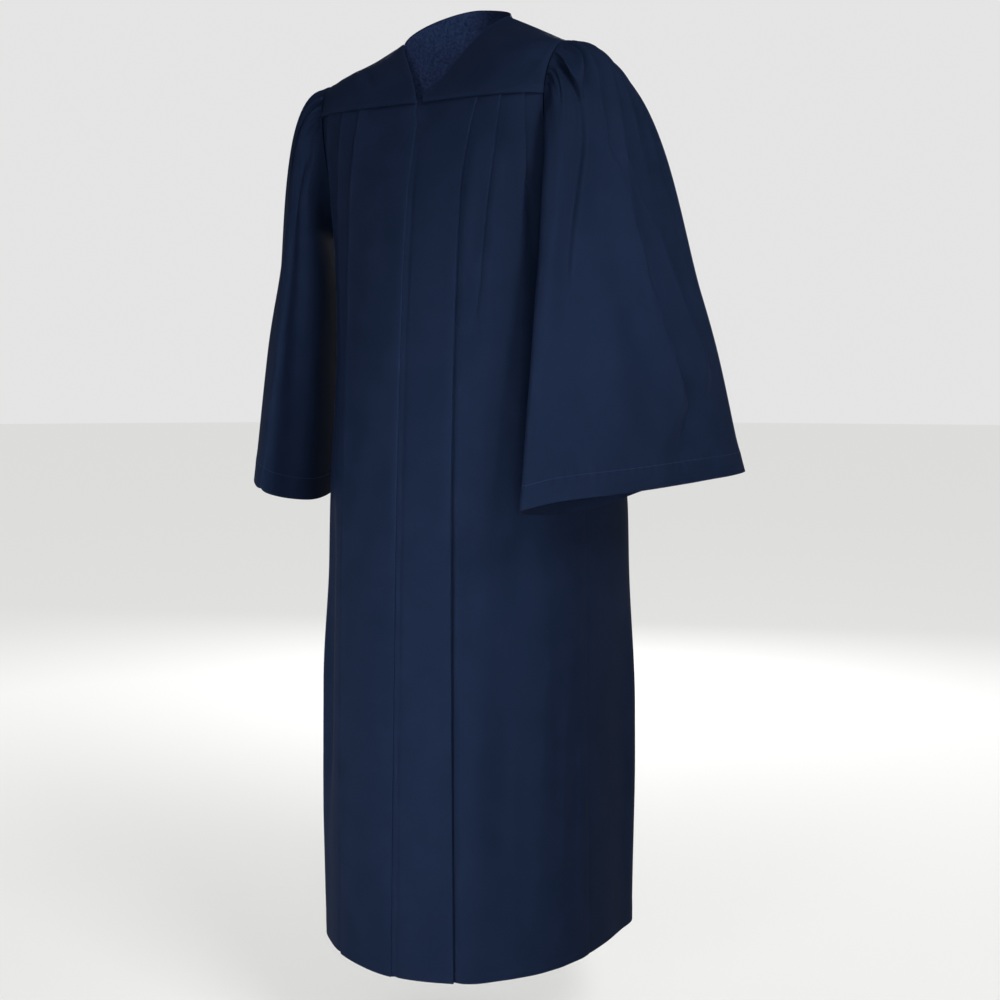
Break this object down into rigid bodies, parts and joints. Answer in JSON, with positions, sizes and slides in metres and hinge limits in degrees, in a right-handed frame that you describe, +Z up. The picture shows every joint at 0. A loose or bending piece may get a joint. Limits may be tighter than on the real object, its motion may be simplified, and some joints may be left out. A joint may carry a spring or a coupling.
{
  "type": "choir robe",
  "caption": "Full-length choir robe, filled out as worn: yokes over long knife pleats, V neck, gathered bell sleeves, open at the neck, hem and cuffs.",
  "frame": {"origin": "midway between the two points where the shoulder seams meet the neck, where the robe rests on its wearer", "axes": "+Z up, the front faces -Y, and the wearer's left is +X"},
  "size_m": [0.7, 0.4768, 1.3412],
  "materials": {
    "robe_cloth": "matte navy polyester with a soft satin sheen",
    "lining_cloth": "matte dark blue lining"
  },
  "bodies": {
    "root": {"back": "robe_cloth", "back_yoke": "robe_cloth", "back_yoke_lining": "lining_cloth", "front_left": "robe_cloth", "front_right": "robe_cloth", "front_yoke_left": "robe_cloth", "front_yoke_right": "robe_cloth", "sleeve_left": "robe_cloth", "sleeve_right": "robe_cloth"}
  },
  "joints": []
}
